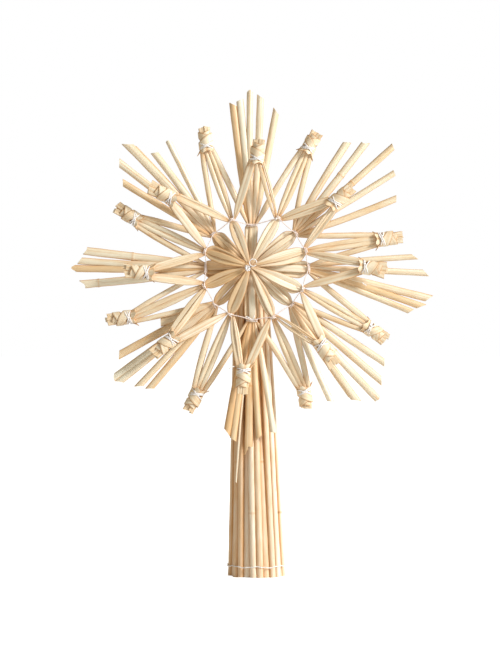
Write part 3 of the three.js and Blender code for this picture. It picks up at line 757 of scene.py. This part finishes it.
def fold(shape, axes, height, slope, lift):
    """A flattened straw laid round the gathered ends on the slant, and bent sharply at both sides."""
    base, axis, side, outward = axes
    angles = shape.pick(FOLD_START) + np.linspace(0, FOLD_TURNS * 2 * np.pi, FOLD_POINTS)
    x = np.cos(angles) * (FOLD_RADIUS + lift)
    y = np.sign(np.sin(angles)) * np.abs(np.sin(angles)) ** FOLD_SHARPNESS * (FOLD_DEPTH + lift)
    z = height + slope * np.cos(angles) + FOLD_CLIMB * np.linspace(-1, 1, len(angles))
    path = base + side * x[:, None] + outward * y[:, None] + axis * z[:, None]
    along = unit(np.gradient(path, axis=0))
    wide = FOLD_WIDTH * shape.pick(FOLD_WIDTH_SPREAD)
    # Painted shade at both ends of the fold
    lay(shape, path, (0.7 * wide, wide, wide, wide, wide, 0.7 * wide), (FOLD_THICKNESS,),
        towards=np.cross(axis, along), crease=0.25, tone=tone_near(shape, -0.2), shade=(0.15, 0, 0, 0, 0.2),
        sides=12)


def tuft(shape, axes, length, flare):
    """The cut ends of the gathered straws, pressed flat and fanned out."""
    base, axis, side, outward = axes
    share, spread_out = TUFT_START
    for count, before, darker in TUFT_LAYERS:
        for lateral in np.linspace(-1, 1, count):
            width = flare * TUFT_OVERLAP / count * shape.pick(TUFT_WIDTH_SPREAD)
            start = base + axis * share * length + side * lateral * spread_out + outward * before
            reach = length * shape.pick(TUFT_REACH)
            depth = before * shape.pick(TUFT_DEPTH_SPREAD)
            end = base + axis * reach + side * lateral * (flare - width / 2) + outward * depth
            lean = shape.sway(TUFT_LEAN)
            # Painted shade at the tuft's root, under the thread
            lay(shape, straight(start, end, step=1.0), (0.8 * width, 0.95 * width, width), (1.2, 1.0, 0.8),
                towards=outward, roll=(0, lean), crease=0.5, tone=tone_near(shape, darker),
                shade=(0.6, 0.3, 0, 0), cut=shape.sway(TUFT_CUT))


def knot_straws(shape, knot):
    """All the straw of one knot."""
    axes = knot_frame(knot)
    length, flare = knot[3:5]
    collar(shape, axes, length)
    flaps(shape, axes, length)
    neck(shape, axes, length)
    tuft(shape, axes, length, flare)
    way = shape.random.choice((-1, 1))
    for height, slant, lift in FOLDS:
        fold(shape, axes, height * length, way * slant * shape.pick(FOLD_SLOPE), lift)


# Threads: two twisted plies
def twisted(shape, path, radius=THREAD_RADIUS, closed=False, tone=0.0):
    """A two-ply thread along a path of points. Its tone goes from white to rosy beige."""
    if closed:
        path = np.concatenate([path, path[:2]])
    along = unit(np.gradient(path, axis=0))
    helper = np.where(np.abs(along[:, 2:3]) > 0.9, np.array((1.0, 0, 0)), np.array((0, 0, 1.0)))
    across = unit(np.cross(along, helper))
    outward = np.cross(across, along)
    distance = distances(path)
    around = circle(THREAD_SIDES)[None, :]
    plies = np.cos(2 * (around - distance * PLY_TWIST))
    x = np.cos(around) * radius * (1 + PLY_GROOVE * plies)
    y = np.sin(around) * radius * (1 + PLY_GROOVE * plies)
    grid = path[:, None, :] + across[:, None, :] * x[..., None] + outward[:, None, :] * y[..., None]
    grain = np.stack([x, y, np.broadcast_to(distance, x.shape)], axis=-1)
    # Painted shade in the grooves between the plies
    shape.add_grid(grid, grain, tone, PLY_SHADE * (1 - plies))


def knot_thread(shape, knot):
    """Turns of thread round a knot's neck that cross on the slant."""
    angles = circle(40)
    radii = NECK_RADIUS + KNOT_TURN_CLEARANCE + KNOT_TURN_WAVE * np.sin(3 * angles)
    for turn, share in enumerate(KNOT_TURNS):
        slant = shape.pick(KNOT_TURN_SLANTS) * (1 if turn % 2 else -1)
        path = around_axis(knot_frame(knot), angles, radii, share * knot[3] + slant * np.cos(angles))
        twisted(shape, path, radius=KNOT_THREAD_RADIUS, closed=True)


def ring_thread(shape):
    """The thread from tie to tie, with its turns round each tie, and the threads' loose ends."""
    rays = [ray for pair in zip(BACK_RAYS, FRONT_RAYS) for ray in pair]
    corners = [star_point(ray["angle"], ray["tie"], ray["forward"] + RING_FORWARD) for ray in rays]
    shares = np.linspace(0, 1, 26)[:, None]
    for ray, corner, following in zip(rays, corners, corners[1:] + corners[:1]):
        sag = star_point(ray["angle"], RING_SAG, 0) - star_point(0, 0, 0)
        path = corner + (following - corner) * shares - sag * np.sin(np.pi * shares)
        twisted(shape, path, tone=RING_TONE)
        for shift in TIE_TURNS:
            tie_turn(shape, ray, shift, shape.sway(TIE_TURN_SLANT))
    shares = np.linspace(0, 1, TAIL_POINTS)
    for angle, reach, forward, direction, length in THREAD_TAILS:
        turns = np.radians(direction + TAIL_BEND * shares)
        steps = np.stack([np.cos(turns), -TAIL_RISE * np.sin(3 * shares), np.sin(turns)], axis=-1)
        path = star_point(angle, reach, forward) + np.cumsum(steps * length / (TAIL_POINTS - 1), axis=0)
        twisted(shape, path)


def tie_turn(shape, ray, shift, slant):
    """One turn of thread round a tie."""
    angles = circle(36)[:, None]
    along = unit(star_point(ray["angle"], 1, 0) - star_point(ray["angle"], 0, 0))
    centre = star_point(ray["angle"], ray["tie"] + shift, ray["forward"])
    reach = WIDE_TIE if ray["strips"][-1][-1] == "band" else NARROW_TIE
    path = centre + np.cross(along, FRONT) * reach * np.cos(angles)
    path = path + FRONT * TIE_DEPTH * np.sin(angles) + along * slant * np.cos(angles)
    twisted(shape, path, closed=True, tone=RING_TONE / 2)


def centre_thread(shape):
    """The small knot before the hub, with the curl of its loose end."""
    angles = circle(30)
    for turn, reach in enumerate(CENTRE_LOOPS):
        lean = math.radians(45 * turn)
        wide = reach * np.cos(angles)
        high = CENTRE_LOOP_HEIGHT * np.sin(angles)
        loop = np.stack([wide * math.cos(lean) - high * math.sin(lean),
                         CENTRE_LOOP_HEIGHT * np.sin(2 * angles),
                         wide * math.sin(lean) + high * math.cos(lean)], axis=-1)
        twisted(shape, star_point(*CENTRE_KNOT, CENTRE_FORWARD) + loop, closed=True)
    angles = np.linspace(0, 1.8 * np.pi, 30)
    curl = np.stack([np.cos(angles) * CURL_RADIUS, -CURL_RISE * angles, np.sin(angles) * CURL_RADIUS])
    twisted(shape, star_point(*CENTRE_CURL, CENTRE_FORWARD - CURL_BACK) + curl.T)


# Sleeve
def ring_point(centre, angle, radius):
    """A point of a level ring."""
    turn = math.radians(angle)
    return centre + np.array((radius * math.cos(turn), radius * math.sin(turn), 0))


def stem_axis(height):
    """The sleeve's middle at a height."""
    return STEM_FOOT + (STEM_HEAD - STEM_FOOT) * height / STEM_HEAD[2]


def stem_straw(shape, index):
    """One straw of the sleeve, from its head down to its foot."""
    place = index % STEM_GROUP
    inner = int(place == STEM_GROUP - 1)
    foot_angle = STEM_FIRST_ANGLE + index * 360 / STEM_STRAWS
    foot = ring_point(STEM_FOOT, foot_angle, STEM_FOOT_RADII[inner])
    head = ring_point(STEM_HEAD, foot_angle + HEAD_STAGGER[place], STEM_HEAD_RADII[inner])
    foot = foot + (0, 0, shape.random.choice(FOOT_HEIGHTS))
    joint = shape.random.choice(STEM_JOINTS)
    bow = 0 if inner else shape.sway(STEM_BOW)
    path = straight(head, foot, bow=bow, step=2 * JOINT_STEP if joint else STEM_STEP)
    thick = INNER_THICKNESS if inner else shape.pick(STEM_THICKNESS)
    outward = (foot + head - 2 * stem_axis(STEM_HEAD[2] / 2)) * (1, 1, 0)
    # Painted shade: the straws on the left, away from the light, are made browner
    tone = SLEEVE_TONE - SLEEVE_SIDE_PAINTED_SHADE * math.cos(math.radians(foot_angle))
    lay(shape, path, [width * thick for width in STEM_WIDTHS], STEM_DEPTHS,
        towards=unit(outward), tone=tone_near(shape, tone, SLEEVE_TONE_CHANGE),
        shade=INNER_SHADE if inner else STEM_SHADE, flank=SLEEVE_FLANK_SHADE, level=True,
        joints=(joint,) if joint else (), mouths=("start", "end"))


def stem_binding(shape):
    """Thread wound round the sleeve's head."""
    angles = np.linspace(0, BINDING_TURNS * 360, BINDING_TURNS * 60)
    heights = BINDING_HEIGHT + BINDING_LENGTH * (angles / angles[-1] - 0.5)
    centre = stem_axis(BINDING_HEIGHT) * (1, 1, 0)
    twisted(shape, np.array([ring_point(centre, angle, BINDING_RADIUS) + (0, 0, height)
                             for angle, height in zip(angles, heights)]))


def foot_thread(shape):
    """The thread stitched round the sleeve's foot."""
    centre = stem_axis(FOOT_THREAD_HEIGHT)
    path = []
    for angle in np.linspace(0, 360, 240, endpoint=False):
        dip = FOOT_THREAD_DIP * (1 - math.cos(math.radians((angle - STEM_FIRST_ANGLE) * STEM_STRAWS)))
        wave = sum(height * math.sin(math.radians(angle * count)) for height, count in FOOT_THREAD_WAVES)
        path.append(ring_point(centre, angle, FOOT_THREAD_RADIUS - dip) + (0, 0, wave))
    twisted(shape, np.array(path), closed=True)


# Materials
WHITE = (1, 1, 1, 1)
STRAW_PALE = (0.93, 0.89, 0.73, 1)
STRAW_WARM = (0.78, 0.575, 0.335, 1)
SLEEVE_PALE = (0.94, 0.87, 0.73, 1)
SLEEVE_WARM = (0.79, 0.54, 0.31, 1)
# Amber for flecks and thin lines, and for the lighter painted shade in crevices; a dark brown for the
# deepest painted shade
STRAW_AMBER = (0.70, 0.36, 0.12, 1)
PAINTED_SHADE_BROWN = (0.20, 0.085, 0.03, 1)
THREAD_COLOUR = (0.95, 0.94, 0.94, 1)
# A darker thread colour, for soil blotches and for the painted shade in the ply grooves
THREAD_SOIL_AND_SHADE = (0.8, 0.73, 0.7, 1)
THREAD_ROSY = (0.84, 0.68, 0.6, 1)
# Patterns: their fineness across and along the grain, and their levels of detail
FIBRES = ((2.1, 2.1, 0.05), 2)
SPLITS = ((0.9, 0.9, 0.012), 0)
STREAKS = ((1.3, 1.3, 0.035), 2)
PATCHES = ((0.35, 0.35, 0.09), 2)
FLECKS = ((2.2, 2.2, 0.5), 1)
FUZZ = ((9, 9, 3), 3)
SOIL = ((0.5, 0.5, 0.15), 2)
# Bumps: a strength and a depth in metres
STRAW_BUMP = (0.14, 0.00005)
THREAD_BUMP = (0.5, 0.00008)


def feed(tree, socket, value):
    """Gives a socket a constant, or links another node's output to it."""
    if isinstance(value, bpy.types.NodeSocket):
        tree.links.new(value, socket)
    else:
        socket.default_value = value


def attribute(tree, name, output="Fac"):
    """What the mesh's points hold under a name."""
    node = tree.nodes.new("ShaderNodeAttribute")
    node.attribute_name = name
    return node.outputs[output]


def pattern(tree, scale, detail):
    """Noise in the straw's own coordinates, stretched by a scale for each direction."""
    stretch = tree.nodes.new("ShaderNodeVectorMath")
    stretch.operation = "MULTIPLY"
    feed(tree, stretch.inputs[0], attribute(tree, "grain", "Vector"))
    feed(tree, stretch.inputs[1], scale)
    noise = tree.nodes.new("ShaderNodeTexNoise")
    for name, value in (("Vector", stretch.outputs[0]), ("Scale", 1), ("Detail", detail)):
        feed(tree, noise.inputs[name], value)
    return noise.outputs["Fac"]


def ramped(tree, value, from_range, to_range):
    """A value moved from one range to another and kept inside it."""
    ramp = tree.nodes.new("ShaderNodeMapRange")
    names = ("Value", "From Min", "From Max", "To Min", "To Max")
    for name, number in zip(names, (value, *from_range, *to_range)):
        feed(tree, ramp.inputs[name], number)
    return ramp.outputs["Result"]


def arithmetic(tree, operation, *values):
    """One step of arithmetic with values or constants."""
    node = tree.nodes.new("ShaderNodeMath")
    node.operation = operation
    for socket, value in zip(node.inputs, values):
        feed(tree, socket, value)
    return node.outputs[0]


def mixed(tree, factor, first, second, blend="MIX"):
    """Two colours mixed by a factor."""
    mix = tree.nodes.new("ShaderNodeMix")
    mix.data_type = "RGBA"
    mix.blend_type = blend
    for place, value in ((0, factor), (6, first), (7, second)):
        feed(tree, mix.inputs[place], value)
    return mix.outputs[2]


def bumped(tree, shader, height, strength, depth):
    """Gives the shader a bump."""
    bump = tree.nodes.new("ShaderNodeBump")
    for name, value in (("Strength", strength), ("Distance", depth), ("Height", height)):
        feed(tree, bump.inputs[name], value)
    feed(tree, shader.inputs["Normal"], bump.outputs["Normal"])


def new_material(name):
    """A material, its nodes and its shader."""
    material = bpy.data.materials.new(name)
    material.use_nodes = True
    return material, material.node_tree, material.node_tree.nodes["Principled BSDF"]


def straw_material(name, pale, warm, roughness, lines):
    """Natural straw: lengthwise fibres, a tone for each straw, thin dark lines, and painted shade, amber to
    dark brown, in creases, crevices and hollows.
    """
    material, tree, shader = new_material(name)
    fibres = pattern(tree, *FIBRES)
    streaks = pattern(tree, *STREAKS)
    tone = ramped(tree, attribute(tree, "tone"), (-1, 1.5), (0, 1))
    blend = arithmetic(tree, "ADD", tone, ramped(tree, streaks, (0.3, 0.7), (-0.22, 0.22)))
    blend = arithmetic(tree, "ADD", blend, ramped(tree, pattern(tree, *PATCHES), (0.3, 0.7), (-0.2, 0.2)))
    from_line = arithmetic(tree, "ABSOLUTE", arithmetic(tree, "SUBTRACT", pattern(tree, *SPLITS), 0.5))
    shade = attribute(tree, "shade")
    body = mixed(tree, ramped(tree, blend, (0, 1), (0, 1)), pale, warm)
    body = mixed(tree, ramped(tree, fibres, (0.35, 0.7), (0, 0.22)), body, STRAW_WARM, "MULTIPLY")
    # Flecks and thin lines are amber in the straw itself; the shade attribute is painted shade, amber at
    # first and dark brown where deepest
    for value, values, amounts, colour in (
            (pattern(tree, *FLECKS), (0.68, 0.76), (0, 0.3), STRAW_AMBER),
            (from_line, (0.006, 0.03), (lines, 0), STRAW_AMBER),
            (shade, (0, 0.5), (0, 0.85), STRAW_AMBER), (shade, (0.4, 1), (0, 1), PAINTED_SHADE_BROWN)):
        body = mixed(tree, ramped(tree, value, values, amounts), body, colour)
    feed(tree, shader.inputs["Base Color"], body)
    gloss = ramped(tree, fibres, (0.3, 0.7), (roughness - 0.07, roughness + 0.1))
    feed(tree, shader.inputs["Roughness"], gloss)
    height = arithmetic(tree, "ADD", fibres, arithmetic(tree, "MULTIPLY", streaks, 1.5))
    bumped(tree, shader, height, *STRAW_BUMP)
    return material


def thread_material():
    """Off-white cotton: twisted plies with a fine fuzz of fibres, blotches of soil, and painted shade in the
    grooves between the plies.
    """
    material, tree, shader = new_material("thread")
    soil = ramped(tree, pattern(tree, *SOIL), (0.35, 0.7), (0, 0.5))
    body = mixed(tree, soil, THREAD_COLOUR, THREAD_SOIL_AND_SHADE)
    # Painted shade in the grooves between the plies
    body = mixed(tree, attribute(tree, "shade"), body, THREAD_SOIL_AND_SHADE)
    body = mixed(tree, attribute(tree, "tone"), body, THREAD_ROSY)
    feed(tree, shader.inputs["Base Color"], body)
    shader.inputs["Roughness"].default_value = 0.85
    bumped(tree, shader, pattern(tree, *FUZZ), *THREAD_BUMP)
    return material


def make_star(straw, flat_straw, sleeve_straw, thread):
    """Every piece of the ornament, each standing for its solid."""
    sides = (("front", FRONT_RAYS, front_fan, 1), ("back", BACK_RAYS, back_fan, -1))
    for index, layer in enumerate(HUB_LAYERS):
        for name, rays, fan, sign in sides:
            shape = Shape(f"{name}_rays_{index + 1}")
            for ray_index in (index, index + OPPOSITE):
                petal(shape, rays[ray_index], sign * layer)
                fan(shape, ray_index)
            shape.make(flat_straw, "flattened_straw", f"{name}_bundle_{index + 1}")
    for name, knots in (("inner_knot", INNER_KNOTS), ("outer_knot", OUTER_KNOTS)):
        for index, knot in enumerate(knots):
            shape = Shape(f"{name}_straws_{index + 1}")
            knot_straws(shape, knot)
            shape.make(straw, "straw", f"{name}_{index + 1}")
            turns = Shape(f"{name}_thread_{index + 1}")
            knot_thread(turns, knot)
            turns.make(thread, "thread")
    for index in range(STEM_STRAWS):
        shape = Shape(f"sleeve_straw_{index + 1:02d}")
        stem_straw(shape, index)
        shape.make(sleeve_straw, "straw", f"stem_straw_{index + 1:02d}")
    for node, build in (("ring_thread", ring_thread), ("centre_thread", centre_thread),
                        ("stem_binding", stem_binding), ("foot_thread", foot_thread)):
        shape = Shape(f"{node}_plies")
        build(shape)
        shape.make(thread, "thread", node)


# Studio: the floor and the sky are white to the camera, and the sky lights the star softly
FLOOR_REACH = 12.0
FLOOR_COLOUR = (0.9, 0.9, 0.9, 1)
FLOOR_GLOW = 0.85
SKY_LIGHT = 0.36
SKY_COLOUR = (1.0, 0.91, 0.74, 1)
# Lamps: a name, a place and a size in metres, and a power in watts
LAMPS = (("key", (1.45, -0.8, 0.95), 0.4, 38), ("rim", (0.9, 0.9, 0.5), 0.6, 4))


def camera_ray(tree):
    """One for what the camera sees itself, and nought for the rest."""
    return tree.nodes.new("ShaderNodeLightPath").outputs["Is Camera Ray"]


def make_floor():
    """A plain pale floor, wide enough to meet the sky without an edge."""
    points = [(x * FLOOR_REACH, y * FLOOR_REACH, 0) for x, y in ((-1, -1), (1, -1), (1, 1), (-1, 1))]
    mesh = bpy.data.meshes.new("floor")
    mesh.from_pydata(points, [], [(0, 1, 2, 3)])
    material, tree, shader = new_material("floor")
    shader.inputs["Base Color"].default_value = FLOOR_COLOUR
    shader.inputs["Roughness"].default_value = 0.9
    shader.inputs["Emission Color"].default_value = WHITE
    glow = ramped(tree, camera_ray(tree), (0, 1), (0, FLOOR_GLOW))
    feed(tree, shader.inputs["Emission Strength"], glow)
    mesh.materials.append(material)
    add_object("floor", mesh)


def make_lights():
    """Soft light all round, and a brighter one from the upper right."""
    world = bpy.data.worlds.new("studio")
    world.use_nodes = True
    tree = world.node_tree
    background = tree.nodes["Background"]
    feed(tree, background.inputs["Color"], mixed(tree, camera_ray(tree), SKY_COLOUR, WHITE))
    feed(tree, background.inputs["Strength"], ramped(tree, camera_ray(tree), (0, 1), (SKY_LIGHT, 1)))
    bpy.context.scene.world = world
    target = Vector((0, 0, VIEW_CENTRE_HEIGHT * MM))
    for name, place, size, power in LAMPS:
        light = bpy.data.lights.new(name, "AREA")
        light.size = size
        light.energy = power
        lamp = add_object(name, light)
        lamp.location = place
        lamp.rotation_euler = (target - lamp.location).to_track_quat("-Z", "Y").to_euler()


def make_camera():
    """The photo's view: level, from the front."""
    camera = bpy.data.cameras.new("camera")
    camera.lens = SENSOR * CAMERA_DISTANCE / (IMAGE_HEIGHT * PIXEL)
    camera.sensor_width = SENSOR
    view = add_object("camera", camera)
    view.location = (0, (STAR_PLANE - CAMERA_DISTANCE) * MM, VIEW_CENTRE_HEIGHT * MM)
    view.rotation_euler = (math.pi / 2, 0, 0)
    bpy.context.scene.camera = view
    bpy.context.scene.view_settings.view_transform = "Standard"


make_star(straw_material("straw", STRAW_PALE, STRAW_WARM, 0.45, 0.25),
          straw_material("flattened_straw", STRAW_PALE, STRAW_WARM, 0.42, 0.5),
          straw_material("sleeve_straw", SLEEVE_PALE, SLEEVE_WARM, 0.45, 0.35), thread_material())
make_floor()
make_lights()
make_camera()
